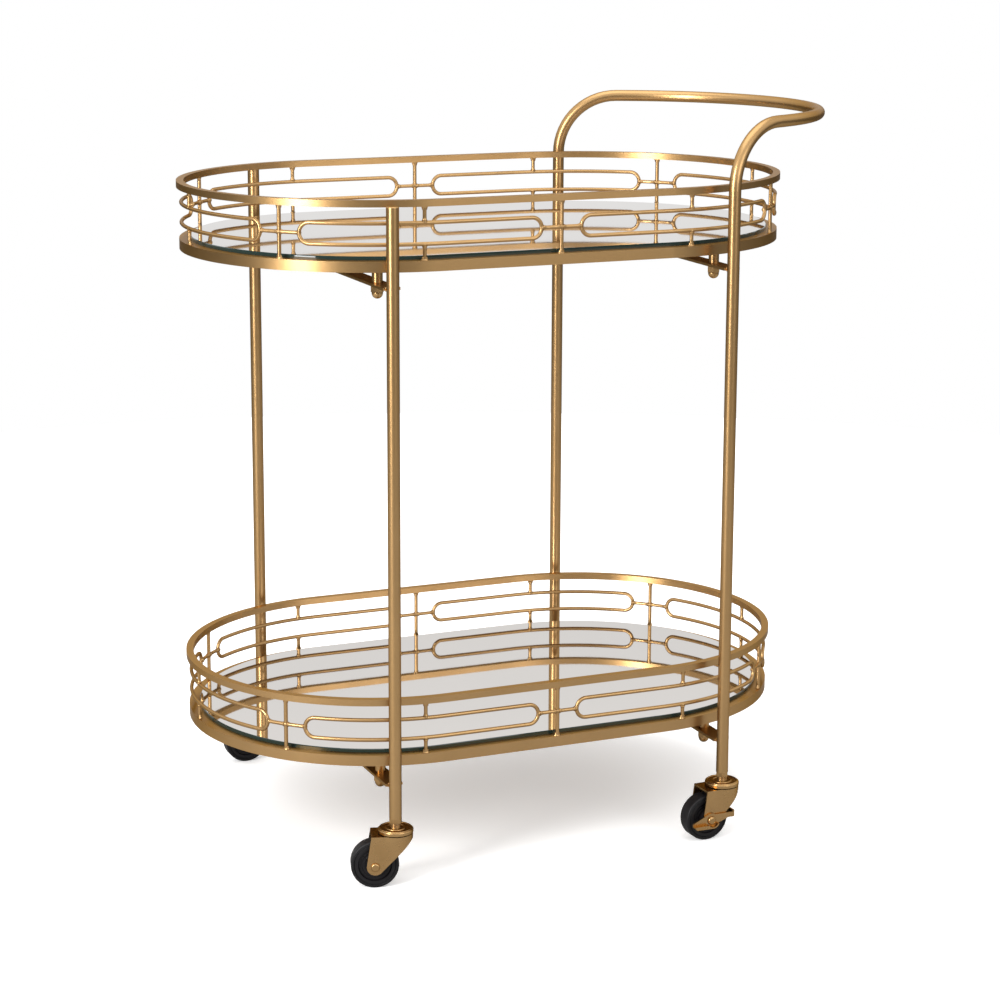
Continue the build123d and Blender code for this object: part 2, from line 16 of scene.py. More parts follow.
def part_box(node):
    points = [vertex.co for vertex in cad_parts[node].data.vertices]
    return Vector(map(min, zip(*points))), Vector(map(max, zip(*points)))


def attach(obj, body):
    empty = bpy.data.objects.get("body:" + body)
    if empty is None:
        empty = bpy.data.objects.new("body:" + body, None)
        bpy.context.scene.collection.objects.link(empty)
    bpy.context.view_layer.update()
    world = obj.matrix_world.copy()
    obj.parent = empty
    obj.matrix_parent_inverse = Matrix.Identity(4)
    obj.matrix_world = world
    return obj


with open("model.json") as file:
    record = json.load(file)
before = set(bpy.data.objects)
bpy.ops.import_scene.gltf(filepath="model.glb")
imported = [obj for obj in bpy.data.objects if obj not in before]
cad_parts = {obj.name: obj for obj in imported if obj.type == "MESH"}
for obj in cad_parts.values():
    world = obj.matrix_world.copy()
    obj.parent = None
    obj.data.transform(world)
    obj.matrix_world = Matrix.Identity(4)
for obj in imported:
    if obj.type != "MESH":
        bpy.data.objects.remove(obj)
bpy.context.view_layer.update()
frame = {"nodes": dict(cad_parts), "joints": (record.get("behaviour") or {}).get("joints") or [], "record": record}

LOG = logging.getLogger("bar_cart")
MM = 0.001
Colour = tuple[float, float, float]


# --------------------------------------------------------------------------- finishes


class Slot(Enum):
    """The record's material slots."""

    GOLD_PAINT = "gold_paint"
    GOLD_FASTENER = "gold_fastener"
    ZINC_STEEL = "zinc_steel"
    MIRROR_GLASS = "mirror_glass"
    WHEEL_HUB = "wheel_hub"
    WHEEL_TYRE = "wheel_tyre"
    AXLE_BUSH = "axle_bush"


class Shader:
    """A material's node tree, with short calls for the nodes that the finishes share."""

    def __init__(self, name: str) -> None:
        """Makes an empty material with an output and Object coordinates.

        Args:
            name: the material's name.
        """
        self.material = bpy.data.materials.new(name)
        self.material.use_nodes = True
        self.tree = self.material.node_tree
        self.tree.nodes.clear()
        self.output = self.tree.nodes.new("ShaderNodeOutputMaterial")
        self.bsdf = self.tree.nodes.new("ShaderNodeBsdfPrincipled")
        self.tree.links.new(self.bsdf.outputs["BSDF"], self.output.inputs["Surface"])
        self.coordinates = self.tree.nodes.new("ShaderNodeTexCoord").outputs["Object"]

    def set(self, **sockets: float | Colour) -> None:
        """Sets values on the Principled shader's own sockets, with _ for a space."""
        for name, value in sockets.items():
            socket = self.bsdf.inputs[name.replace("_", " ").title().replace("Ior", "IOR")]
            socket.default_value = (*value, 1.0) if isinstance(value, tuple) else value

    def link(self, source: bpy.types.NodeSocket, name: str) -> None:
        """Feeds one of the Principled shader's sockets."""
        self.tree.links.new(source, self.bsdf.inputs[name])

    def noise(self, scale: float, detail: float = 3.0) -> bpy.types.NodeSocket:
        """Fractal noise on the object.

        Args:
            scale: repeats per metre.
            detail: octaves.

        Returns:
            The noise's grey value.
        """
        node = self.tree.nodes.new("ShaderNodeTexNoise")
        node.inputs["Scale"].default_value = scale
        node.inputs["Detail"].default_value = detail
        self.tree.links.new(self.coordinates, node.inputs["Vector"])
        return node.outputs["Fac"]

    def flakes(self, scale: float) -> bpy.types.NodeSocket:
        """Cells of a random grey, as metal flakes in a lacquer.

        Args:
            scale: cells per metre.

        Returns:
            The cells' colour.
        """
        node = self.tree.nodes.new("ShaderNodeTexVoronoi")
        node.inputs["Scale"].default_value = scale
        self.tree.links.new(self.coordinates, node.inputs["Vector"])
        return node.outputs["Color"]

    def span(
        self, source: bpy.types.NodeSocket, low: float, high: float
    ) -> bpy.types.NodeSocket:
        """Stretches a 0 to 1 value over a range.

        Args:
            source: the value.
            low: what 0 becomes.
            high: what 1 becomes.

        Returns:
            The new value.
        """
        node = self.tree.nodes.new("ShaderNodeMapRange")
        node.inputs["To Min"].default_value = low
        node.inputs["To Max"].default_value = high
        self.tree.links.new(source, node.inputs["Value"])
        return node.outputs["Result"]

    def blend(
        self,
        factor: bpy.types.NodeSocket,
        first: Colour | bpy.types.NodeSocket,
        second: Colour | bpy.types.NodeSocket,
    ) -> bpy.types.NodeSocket:
        """Mixes two colours.

        Args:
            factor: how much of the second.
            first: the colour at 0.
            second: the colour at 1.

        Returns:
            The mixed colour.
        """
        node = self.tree.nodes.new("ShaderNodeMix")
        node.data_type = "RGBA"
        # The Mix node's colour sockets share their names with others, so they go by number.
        self.tree.links.new(factor, node.inputs[0])
        for socket, colour in ((node.inputs[6], first), (node.inputs[7], second)):
            if isinstance(colour, tuple):
                socket.default_value = (*colour, 1.0)
            else:
                self.tree.links.new(colour, socket)
        return node.outputs[2]

    def bump(self, height: bpy.types.NodeSocket, depth: float, strength: float = 1.0) -> None:
        """Gives the surface a relief.

        Args:
            height: the relief's grey value.
            depth: its full height in metres.
            strength: how much of it shows.
        """
        node = self.tree.nodes.new("ShaderNodeBump")
        node.inputs["Strength"].default_value = strength
        node.inputs["Distance"].default_value = depth
        self.tree.links.new(height, node.inputs["Height"])
        self.link(node.outputs["Normal"], "Normal")

    def upward(self) -> bpy.types.NodeSocket:
        """How far the face looks up or down, from 0 on a wall to 1 on a level face."""
        geometry = self.tree.nodes.new("ShaderNodeNewGeometry")
        split = self.tree.nodes.new("ShaderNodeSeparateXYZ")
        self.tree.links.new(geometry.outputs["True Normal"], split.inputs["Vector"])
        size = self.tree.nodes.new("ShaderNodeMath")
        size.operation = "ABSOLUTE"
        self.tree.links.new(split.outputs["Z"], size.inputs[0])
        return size.outputs["Value"]


@dataclass(frozen=True)
class MetalFinish:
    """A gold or zinc metal surface: a fine flake, a soft mottle and a thin clear coat."""

    name: str
    light: Colour
    dark: Colour
    edge: Colour
    roughness: tuple[float, float]
    coat: float = 0.0
    flake_scale: float = 2600.0
    flake_share: float = 0.16
    mottle_scale: float = 22.0
    mottle_octaves: float = 4.0
    grain_scale: float = 900.0
    grain: float = 0.00001
    coat_roughness: float = 0.12

    def build(self) -> bpy.types.Material:
        """Makes the material."""
        shader = Shader(self.name)
        mottle = shader.noise(self.mottle_scale, self.mottle_octaves)
        flake = shader.flakes(self.flake_scale)
        body = shader.blend(mottle, self.light, self.dark)
        fleck = shader.span(flake, 0.0, self.flake_share)
        shader.link(shader.blend(fleck, body, self.light), "Base Color")
        shader.link(shader.span(mottle, *self.roughness), "Roughness")
        shader.bump(shader.noise(self.grain_scale, 2.0), self.grain)
        shader.set(metallic=1.0, specular_tint=self.edge)
        if self.coat:
            shader.set(coat_weight=self.coat, coat_roughness=self.coat_roughness)
        return shader.material


@dataclass(frozen=True)
class MouldedFinish:
    """A moulded plastic or rubber: a fine grain and a faint uneven haze."""

    name: str
    colour: Colour
    haze: Colour
    roughness: tuple[float, float]
    gloss: float = 0.25
    haze_scale: float = 60.0
    haze_share: float = 0.7
    grain_scale: float = 1800.0
    grain: float = 0.00004

    def build(self) -> bpy.types.Material:
        """Makes the material."""
        shader = Shader(self.name)
        cloud = shader.noise(self.haze_scale, 5.0)
        share = shader.span(cloud, 0.0, self.haze_share)
        shader.link(shader.blend(share, self.colour, self.haze), "Base Color")
        shader.link(shader.span(cloud, *self.roughness), "Roughness")
        shader.bump(shader.noise(self.grain_scale, 3.0), self.grain)
        shader.set(specular_ior_level=self.gloss)
        return shader.material


@dataclass(frozen=True)
class MirrorFinish:
    """Silvered glass: a bright level face with dark green ground edges."""

    name: str = "silvered glass"
    silver: Colour = (0.60, 0.575, 0.55)
    warm: Colour = (0.64, 0.605, 0.57)
    glass_edge: Colour = (0.012, 0.028, 0.026)
    edge_tilt: tuple[float, float] = (0.75, 0.95)
    warmth_scale: float = 5.0
    smear_scale: float = 35.0
    roughness: tuple[float, float] = (0.015, 0.05)

    def build(self) -> bpy.types.Material:
        """Makes the material."""
        shader = Shader(self.name)
        level = shader.tree.nodes.new("ShaderNodeMapRange")
        level.inputs["From Min"].default_value = self.edge_tilt[0]
        level.inputs["From Max"].default_value = self.edge_tilt[1]
        shader.tree.links.new(shader.upward(), level.inputs["Value"])
        face = level.outputs["Result"]
        cloud = shader.noise(self.warmth_scale, 2.0)
        silver = shader.blend(cloud, self.silver, self.warm)
        shader.link(shader.blend(face, self.glass_edge, silver), "Base Color")
        shader.link(face, "Metallic")
        smears = shader.noise(self.smear_scale, 5.0)
        shader.link(shader.span(smears, *self.roughness), "Roughness")
        return shader.material


FINISHES = {
    Slot.GOLD_PAINT: MetalFinish(
        "satin gold paint",
        light=(0.49, 0.302, 0.130),
        dark=(0.385, 0.232, 0.096),
        edge=(0.42, 0.31, 0.19),
        roughness=(0.30, 0.36),
        coat=0.2,
        grain=0.000005,
    ),
    Slot.GOLD_FASTENER: MetalFinish(
        "satin gold plating",
        light=(0.50, 0.315, 0.14),
        dark=(0.37, 0.22, 0.09),
        edge=(0.5, 0.37, 0.24),
        roughness=(0.2, 0.34),
        mottle_scale=60.0,
    ),
    Slot.ZINC_STEEL: MetalFinish(
        "zinc plated steel",
        light=(0.60, 0.585, 0.54),
        dark=(0.42, 0.41, 0.38),
        edge=(0.8, 0.8, 0.8),
        roughness=(0.25, 0.42),
        mottle_scale=90.0,
    ),
    Slot.MIRROR_GLASS: MirrorFinish(),
    Slot.WHEEL_HUB: MouldedFinish(
        "moulded black nylon",
        colour=(0.006, 0.005, 0.006),
        haze=(0.012, 0.011, 0.012),
        roughness=(0.3, 0.45),
    ),
    Slot.WHEEL_TYRE: MouldedFinish(
        "hard black rubber",
        colour=(0.005, 0.0045, 0.005),
        haze=(0.011, 0.010, 0.011),
        roughness=(0.4, 0.58),
        grain_scale=900.0,
        grain=0.00008,
    ),
    Slot.AXLE_BUSH: MouldedFinish(
        "plain acetal",
        colour=(0.62, 0.60, 0.55),
        haze=(0.72, 0.70, 0.66),
        roughness=(0.3, 0.45),
    ),
}


# --------------------------------------------------------------------------- node trees


class Growth:
    """A Geometry Nodes tree that grows small metalwork from a mesh of guide points."""

    def __init__(self, name: str, sizes: dict[str, float]) -> None:
        """Makes the tree with its geometry sockets and named sizes.

        Args:
            name: the tree's name.
            sizes: each named input and its value in metres, or a count.
        """
        self.tree = bpy.data.node_groups.new(name, "GeometryNodeTree")
        face = self.tree.interface
        face.new_socket("Geometry", in_out="INPUT", socket_type="NodeSocketGeometry")
        face.new_socket("Geometry", in_out="OUTPUT", socket_type="NodeSocketGeometry")
        self.sizes = sizes
        self.sockets: dict[str, str] = {}
        for key, value in sizes.items():
            kind = "NodeSocketInt" if isinstance(value, int) else "NodeSocketFloat"
            socket = face.new_socket(key, in_out="INPUT", socket_type=kind)
            self.sockets[key] = socket.identifier
        self.given = self.tree.nodes.new("NodeGroupInput")
        self.result = self.tree.nodes.new("NodeGroupOutput")

    def node(self, kind: str, **inputs: object) -> bpy.types.Node:
        """Adds a node and fills its inputs, with _ for a space in a name.

        Args:
            kind: the node's type name after GeometryNode, or its full type name.
            inputs: values, or sockets to link from.

        Returns:
            The node.
        """
        full = kind if kind.startswith(("Shader", "Function")) else f"GeometryNode{kind}"
        node = self.tree.nodes.new(full)
        for name, value in inputs.items():
            socket = node.inputs[name.replace("_", " ")]
            if isinstance(value, bpy.types.NodeSocket):
                self.tree.links.new(value, socket)
            else:
                socket.default_value = value
        return node

    def size(self, key: str) -> bpy.types.NodeSocket:
        """The output socket of one named size."""
        return self.given.outputs[key]

    def attribute(self, key: str, kind: str = "FLOAT_VECTOR") -> bpy.types.NodeSocket:
        """One of the guide mesh's named attributes."""
        named = self.node("InputNamedAttribute", Name=key)
        named.data_type = kind
        return [o for o in named.outputs if o.enabled][0]

    def blend(
        self,
        factor: bpy.types.NodeSocket,
        first: bpy.types.NodeSocket,
        second: bpy.types.NodeSocket,
    ) -> bpy.types.NodeSocket:
        """Mixes two sizes.

        Args:
            factor: how much of the second.
            first: the size at 0.
            second: the size at 1.

        Returns:
            The mixed size.
        """
        node = self.node("ShaderNodeMix")
        for index, socket in ((0, factor), (2, first), (3, second)):
            self.tree.links.new(socket, node.inputs[index])
        return node.outputs[0]

    def turn(
        self, axis: str, along: bpy.types.NodeSocket, after: bpy.types.NodeSocket | None = None
    ) -> bpy.types.NodeSocket:
        """A rotation that points an axis along a vector.

        Args:
            axis: X, Y or Z.
            along: the vector.
            after: an earlier rotation, whose Z axis stays where it is.

        Returns:
            The rotation.
        """
        node = self.node("FunctionNodeAlignRotationToVector", Vector=along)
        node.axis = axis
        if after is not None:
            node.pivot_axis = "Z"
            self.tree.links.new(after, node.inputs["Rotation"])
        return node.outputs[0]

    def finish(self, shape: bpy.types.NodeSocket, material: bpy.types.Material) -> None:
        """Ends the tree in Realize Instances and Set Material."""
        realized = self.node("RealizeInstances", Geometry=shape)
        dressed = self.node("SetMaterial", Geometry=realized.outputs[0], Material=material)
        smooth = self.node("SetShadeSmooth", Geometry=dressed.outputs[0])
        self.tree.links.new(smooth.outputs[0], self.result.inputs[0])

    def grow(self, name: str, guide: bpy.types.Mesh) -> bpy.types.Object:
        """Runs the tree on a guide mesh and keeps the result as a plain mesh.

        Args:
            name: the finished object's name.
            guide: the mesh that the tree grows from.

        Returns:
            The object, with no modifier left on it.
        """
        seed = bpy.data.objects.new(f"{name}_guide", guide)
        bpy.context.scene.collection.objects.link(seed)
        modifier = seed.modifiers.new("growth", "NODES")
        modifier.node_group = self.tree
        for key, value in self.sizes.items():
            modifier[self.sockets[key]] = value
        bpy.context.view_layer.update()
        graph = bpy.context.evaluated_depsgraph_get()
        mesh = bpy.data.meshes.new_from_object(seed.evaluated_get(graph))
        mesh.name = name
        seed.modifiers.remove(modifier)
        bpy.data.objects.remove(seed)
        piece = bpy.data.objects.new(name, mesh)
        bpy.context.scene.collection.objects.link(piece)
        return piece


def guide_mesh(
    name: str, points: Sequence[Vector], **vectors: Sequence[Vector]
) -> bpy.types.Mesh:
    """A mesh of loose points that can carry vectors.

    Args:
        name: the mesh's name.
        points: where the points are, in metres.
        vectors: each named attribute's vectors, one for each point.

    Returns:
        The mesh, with its attributes.
    """
    mesh = bpy.data.meshes.new(name)
    mesh.from_pydata([tuple(p) for p in points], [], [])
    for key, values in vectors.items():
        attribute = mesh.attributes.new(key, "FLOAT_VECTOR", "POINT")
        attribute.data.foreach_set("vector", [c for v in values for c in v])
    return mesh


def shells(node: str) -> list[np.ndarray]:
    """Corner points of each separate solid in a CAD node, in order of their angle.

    Args:
        node: the CAD node's name.

    Returns:
        One array of points for each solid, in metres.
    """
    mesh = frame["nodes"][node].data
    points = np.empty(len(mesh.vertices) * 3)
    mesh.vertices.foreach_get("co", points)
    points = points.reshape(-1, 3)
    _, merged = np.unique(np.round(points, 6), axis=0, return_inverse=True)
    merged = merged.ravel()
    owner = np.arange(merged.max() + 1)

    def root(i: int) -> int:
        """The first point of the shell that a point is in."""
        while owner[i] != i:
            owner[i] = owner[owner[i]]
            i = owner[i]
        return i

    for polygon in mesh.polygons:
        first, *others = (root(merged[v]) for v in polygon.vertices)
        for other in others:
            owner[root(other)] = root(first)
    roots = np.array([root(i) for i in merged])
    found = [points[roots == r] for r in np.unique(roots)]
    return sorted(found, key=lambda p: math.atan2(*(p.mean(axis=0)[1::-1])))


def box_of(node: str) -> tuple[Vector, Vector]:
    """Lowest and highest corner of a CAD node at rest."""
    low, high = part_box(node)
    return Vector(low), Vector(high)


# --------------------------------------------------------------------------- pieces


@dataclass
class Piece:
    """Something added to the cart: an object, the body it rides on and its finish."""

    body: str
    slot: Slot
    materials: dict[Slot, bpy.types.Material]

    def attach(self, piece: bpy.types.Object) -> bpy.types.Object:
        """Fixes a finished object to its body."""
        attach(piece, self.body)
        LOG.info("%s: %d faces on %s", piece.name, len(piece.data.polygons), self.body)
        return piece

    @property
    def material(self) -> bpy.types.Material:
        """The material of this piece's slot."""
        return self.materials[self.slot]


@dataclass
class GalleryWelds(Piece):
    """Flared fillets and beads where one tray's wires meet its rail, its ring and each other."""

    tray: str = "upper"
    foot: float = 3.1 * MM
    neck: float = 2.0 * MM
    height: float = 4.2 * MM
    hollow: float = 2.4
    sides: int = 20
    steps: int = 5
    seat_stretch: Colour = (1.5, 0.92, 0.95)
    wire_stretch: Colour = (1.0, 1.0, 1.1)
    bead_radius: float = 2.9 * MM
    bead_squash: float = 0.75
    sink: float = 0.3 * MM
    saddle: float = 1.4 * MM
    seat_reach: float = 0.2 * MM
    loop_clear: float = 2.0 * MM

    def __post_init__(self) -> None:
        """Reads the levels that the wires end at, and the oval's centre and straight half."""
        low, high = box_of(f"{self.tray}_top_rail")
        self.rail_bottom = low.z
        self.ring_top = box_of(f"{self.tray}_base_ring")[1].z
        self.centre_x = (low.x + high.x) / 2
        self.straight_half = (high.x - low.x) / 2 - (high.y - low.y) / 2

    def along_oval(self, spot: Vector) -> Vector:
        """The oval's direction at a point on it."""
        past = spot.x - self.centre_x
        past -= max(-self.straight_half, min(self.straight_half, past))
        return Vector((-spot.y, past, 0.0)).normalized()

    def seats(self) -> list[tuple[Vector, Vector]]:
        """Where posts and stubs meet the rail or the ring, and the way that each wire leaves."""
        found = []
        for name in ("posts", "stubs"):
            for shell in shells(f"{self.tray}_{name}"):
                centre = (shell.min(axis=0) + shell.max(axis=0)) / 2
                for end, way in ((self.rail_bottom, -1.0), (self.ring_top, 1.0)):
                    if min(abs(shell[:, 2] - end)) < self.seat_reach:
                        found.append((Vector((centre[0], centre[1], end)), Vector((0, 0, way))))
        return found

    def crossings(self) -> list[tuple[Vector, Vector]]:
        """Both ends of each connector and the loop end of each stub, and the way each leaves."""
        found = []
        for name in ("connectors", "stubs"):
            for shell in shells(f"{self.tray}_{name}"):
                centre = (shell.min(axis=0) + shell.max(axis=0)) / 2
                axis = np.linalg.svd(shell - shell.mean(axis=0), full_matrices=False)[2][0]
                reach = (shell - centre) @ axis
                for end in (reach.min(), reach.max()):
                    spot = Vector(centre + axis * end)
                    if name == "connectors" or self.on_loop(spot):
                        found.append((spot, Vector(axis) * (-1 if end > 0 else 1)))
        return found

    def on_loop(self, spot: Vector) -> bool:
        """Whether a stub's end is the one on its wire loop."""
        off_rail, off_ring = abs(spot.z - self.rail_bottom), abs(spot.z - self.ring_top)
        return min(off_rail, off_ring) > self.loop_clear

    def build(self) -> None:
        """Makes the fillets and the beads."""
        seats, crossings = self.seats(), self.crossings()
        growth = Growth(
            f"{self.tray} fillets", {"Foot": self.foot, "Neck": self.neck, "Height": self.height}
        )
        self.scatter(growth, self.flare(growth))
        ends = [(p - way * self.sink, way, self.seat_stretch) for p, way in seats]
        ends += [(p + way * self.saddle, way, self.wire_stretch) for p, way in crossings]
        guide = guide_mesh(
            "wire ends",
            [p for p, _, _ in ends],
            facing=[way for _, way, _ in ends],
            along=[self.along_oval(p) for p, _, _ in ends],
            stretch=[stretch for _, _, stretch in ends],
        )
        self.attach(growth.grow(f"{self.tray}_wire_fillets", guide))

        growth = Growth(f"{self.tray} beads", {"Radius": self.bead_radius})
        ball = growth.node("MeshIcoSphere", Radius=growth.size("Radius"), Subdivisions=3)
        self.scatter(growth, ball.outputs[0])
        guide = guide_mesh(
            "crossings",
            [p for p, _ in crossings],
            facing=[way for _, way in crossings],
            along=[self.along_oval(p) for p, _ in crossings],
            stretch=[(1.0, 1.0, self.bead_squash)] * len(crossings),
        )
        self.attach(growth.grow(f"{self.tray}_wire_beads", guide))

    def flare(self, growth: Growth) -> bpy.types.NodeSocket:
        """A closed cone whose side is hollowed into a weld's fillet.

        Args:
            growth: the tree, with its inputs Foot, Neck and Height.

        Returns:
            The fillet's mesh, standing on its foot.
        """
        foot, neck = growth.size("Foot"), growth.size("Neck")
        cone = growth.node(
            "MeshCone",
            Vertices=self.sides,
            Side_Segments=self.steps,
            Radius_Top=neck,
            Radius_Bottom=foot,
            Depth=growth.size("Height"),
        )
        place = growth.node("InputPosition").outputs[0]
        split = growth.node("ShaderNodeSeparateXYZ", Vector=place)
        down = growth.node("ShaderNodeMapRange", Value=split.outputs["Z"])
        growth.tree.links.new(growth.size("Height"), down.inputs["From Max"])
        down.inputs["To Min"].default_value, down.inputs["To Max"].default_value = 1.0, 0.0
        left = down.outputs["Result"]
        hollowed = growth.node("ShaderNodeMath")
        hollowed.operation = "POWER"
        growth.tree.links.new(left, hollowed.inputs[0])
        hollowed.inputs[1].default_value = self.hollow
        ratio = growth.node("ShaderNodeMath")
        ratio.operation = "DIVIDE"
        growth.tree.links.new(growth.blend(hollowed.outputs[0], neck, foot), ratio.inputs[0])
        growth.tree.links.new(growth.blend(left, neck, foot), ratio.inputs[1])
        pinch = growth.node("ShaderNodeCombineXYZ", X=ratio.outputs[0], Y=ratio.outputs[0], Z=1.0)
        pinched = growth.node("ShaderNodeVectorMath")
        pinched.operation = "MULTIPLY"
        growth.tree.links.new(place, pinched.inputs[0])
        growth.tree.links.new(pinch.outputs[0], pinched.inputs[1])
        moved = growth.node("SetPosition", Geometry=cone.outputs[0], Position=pinched.outputs[0])
        return moved.outputs[0]

    def scatter(self, growth: Growth, shape: bpy.types.NodeSocket) -> None:
        """Sets a shape on each guide point, its Z axis off the seat and X along the oval."""
        off_seat = growth.turn("Z", growth.attribute("facing"))
        spread = growth.node(
            "InstanceOnPoints",
            Points=growth.given.outputs["Geometry"],
            Instance=shape,
            Rotation=growth.turn("X", growth.attribute("along"), off_seat),
            Scale=growth.attribute("stretch"),
        )
        growth.finish(spread.outputs[0], self.material)


@dataclass
class CrossbarWelds(Piece):
    """Rippled weld beads where each flat crossbar meets a leg."""

    ripple: float = 1.25 * MM
    pitch: float = 1.1 * MM
    half_angle: float = 62.0
    seat_radius: float = 7.2 * MM
    squash: float = 0.8
    spread: tuple[float, float] = (0.85, 1.12)
    seed: int = 11
    leg_reach: float = 5 * MM

    def build(self) -> None:
        """Makes the beads of all four crossbars."""
        growth = Growth("crossbar beads", {"Ripple": self.ripple, "Squash": self.squash})
        ball = growth.node("MeshUVSphere", Radius=growth.size("Ripple"), Segments=9, Rings=6)
        scale = growth.node("ShaderNodeCombineXYZ", X=1.0, Y=1.0, Z=growth.size("Squash"))
        flat = growth.node("Transform", Geometry=ball.outputs[0], Scale=scale.outputs[0])
        vary = growth.node("FunctionNodeRandomValue", Seed=self.seed)
        vary.data_type = "FLOAT"
        low, high = (s for s in vary.inputs if s.type == "VALUE" and s.enabled)
        low.default_value, high.default_value = self.spread
        spread = growth.node(
            "InstanceOnPoints",
            Points=growth.given.outputs["Geometry"],
            Instance=flat.outputs[0],
            Scale=[o for o in vary.outputs if o.enabled][0],
        )
        growth.finish(spread.outputs[0], self.material)
        self.attach(growth.grow("crossbar_welds", guide_mesh("ripples", self.seams())))

    def seams(self) -> list[Vector]:
        """Points along each seam, above and below each bar's two ends."""
        points = []
        steps = int(2 * math.radians(self.half_angle) * self.seat_radius / self.pitch)
        legs = [Vector((x, y, 0.0)) for x, y in leg_axes()]
        for level in ("upper", "lower"):
            for side in ("left", "right"):
                low, high = box_of(f"crossbar_{level}_{side}")
                middle = (low.x + high.x) / 2
                for leg in (axis for axis in legs if abs(axis.x - middle) < self.leg_reach):
                    for z in (low.z, high.z):
                        for i in range(steps + 1):
                            turn = math.radians(self.half_angle) * (2 * i / steps - 1)
                            inward = -math.copysign(1.0, leg.y)
                            out = Vector((math.sin(turn), inward * math.cos(turn), 0.0))
                            points.append(leg + out * self.seat_radius + Vector((0, 0, z)))
        return points


@dataclass
class TurnedRings(Piece):
    """Rings round an axis, such as stamped beads on a plate, threads, or ridges on a hub."""

    name: str = "rings"
    places: list[tuple[Vector, Vector]] = field(default_factory=list)
    radii: Iterable[float] = ()
    offsets: Iterable[float] = (0.0,)
    thickness: float = 0.5 * MM
    squash: float = 1.0
    segments: int = 72
    section_sides: int = 10

    def build(self) -> None:
        """Makes every ring of this piece in one mesh."""
        growth = Growth(
            self.name,
            {"Thickness": self.thickness, "Squash": self.squash, "Segments": self.segments},
        )
        circle = growth.node(
            "CurvePrimitiveCircle", Resolution=growth.size("Segments"), Radius=1.0
        )
        turn = growth.turn("Z", growth.attribute("facing"))
        spread = growth.node(
            "InstanceOnPoints",
            Points=growth.given.outputs["Geometry"],
            Instance=circle.outputs[0],
            Rotation=turn,
            Scale=growth.attribute("radius", "FLOAT"),
        )
        loose = growth.node("RealizeInstances", Geometry=spread.outputs[0])
        section = growth.node(
            "CurvePrimitiveCircle",
            Resolution=self.section_sides,
            Radius=growth.size("Thickness"),
        )
        scale = growth.node("ShaderNodeCombineXYZ", X=1.0, Y=growth.size("Squash"), Z=1.0)
        flat = growth.node("Transform", Geometry=section.outputs[0], Scale=scale.outputs[0])
        swept = growth.node("CurveToMesh", Curve=loose.outputs[0], Profile_Curve=flat.outputs[0])
        growth.finish(swept.outputs[0], self.material)
        points, normals, radii = [], [], []
        for centre, axis in self.places:
            for ring_radius, offset in self.rings():
                points.append(centre + axis * offset)
                normals.append(axis)
                radii.append(ring_radius)
        guide = guide_mesh(self.name, points, facing=normals)
        attribute = guide.attributes.new("radius", "FLOAT", "POINT")
        attribute.data.foreach_set("value", radii)
        self.attach(growth.grow(self.name, guide))

    def rings(self) -> list[tuple[float, float]]:
        """Each ring's radius and its place along the axis."""
        return [(r, o) for r in self.radii for o in self.offsets]


def leg_axes() -> list[tuple[float, float]]:
    """The four legs' axes in plan, read from the caster stems."""
    return [
        (float(s[:, 0].min() + s[:, 0].max()) / 2, float(s[:, 1].min() + s[:, 1].max()) / 2)
        for s in shells("caster_stems")
    ]


@dataclass
class SwivelDetails:
    """Stamped rings on the four swivel plates and the threads under the jam nuts."""

    materials: dict[Slot, bpy.types.Material]
    rim_radius: float = 17.6 * MM
    dish_radius: float = 10.5 * MM
    rim_thickness: float = 1.1 * MM
    rim_squash: float = 0.75
    stem_radius: float = 5.35 * MM
    thread_thickness: float = 0.55 * MM
    thread_count: int = 4
    thread_segments: int = 40

    def build(self) -> None:
        """Makes the rings and the threads."""
        _, plate_high = box_of("swivel_plates")
        nut_low, _ = box_of("caster_jam_nuts")
        up = Vector((0.0, 0.0, 1.0))
        top = [(Vector((x, y, plate_high.z)), up) for x, y in leg_axes()]
        TurnedRings(
            "frame", Slot.GOLD_FASTENER, self.materials, name="swivel_plate_rims", places=top,
            radii=(self.rim_radius, self.dish_radius),
            thickness=self.rim_thickness, squash=self.rim_squash,
        ).build()
        pitch = (nut_low.z - plate_high.z) / (self.thread_count + 1)
        TurnedRings(
            "frame", Slot.GOLD_FASTENER, self.materials, name="stem_threads", places=top,
            radii=(self.stem_radius,), thickness=self.thread_thickness,
            offsets=[pitch * (i + 1) for i in range(self.thread_count)],
            segments=self.thread_segments,
        ).build()


@dataclass
class WheelDetails:
    """Moulded ridges on both faces of one wheel's hub and on its tyre's shoulders."""

    corner: str
    materials: dict[Slot, bpy.types.Material]
    hub_radii: tuple[float, ...] = (11.5 * MM, 15.2 * MM)
    hub_thickness: float = 0.6 * MM
    hub_step: float = 3.0 * MM
    tyre_radii: tuple[float, ...] = (24.0 * MM,)
    tyre_thickness: float = 0.45 * MM
    tyre_segments: int = 96
    half_tyre: float = 9.0 * MM

    def build(self) -> None:
        """Makes the ridges that turn with this wheel."""
        spin = next(j for j in frame["joints"] if j["name"] == f"wheel_spin_{self.corner}")
        centre, axis = Vector(spin["pos_m"]), Vector(spin["axis"]).normalized()
        body = spin["child"]
        half_hub = self.half_tyre - self.hub_step
        TurnedRings(
            body, Slot.WHEEL_HUB, self.materials, name=f"hub_ridges_{self.corner}",
            places=[(centre, axis)], radii=self.hub_radii,
            offsets=(half_hub, -half_hub), thickness=self.hub_thickness,
        ).build()
        TurnedRings(
            body, Slot.WHEEL_TYRE, self.materials, name=f"tyre_ridges_{self.corner}",
            places=[(centre, axis)], radii=self.tyre_radii,
            offsets=(self.half_tyre, -self.half_tyre), thickness=self.tyre_thickness,
            segments=self.tyre_segments,
        ).build()


# --------------------------------------------------------------------------- studio


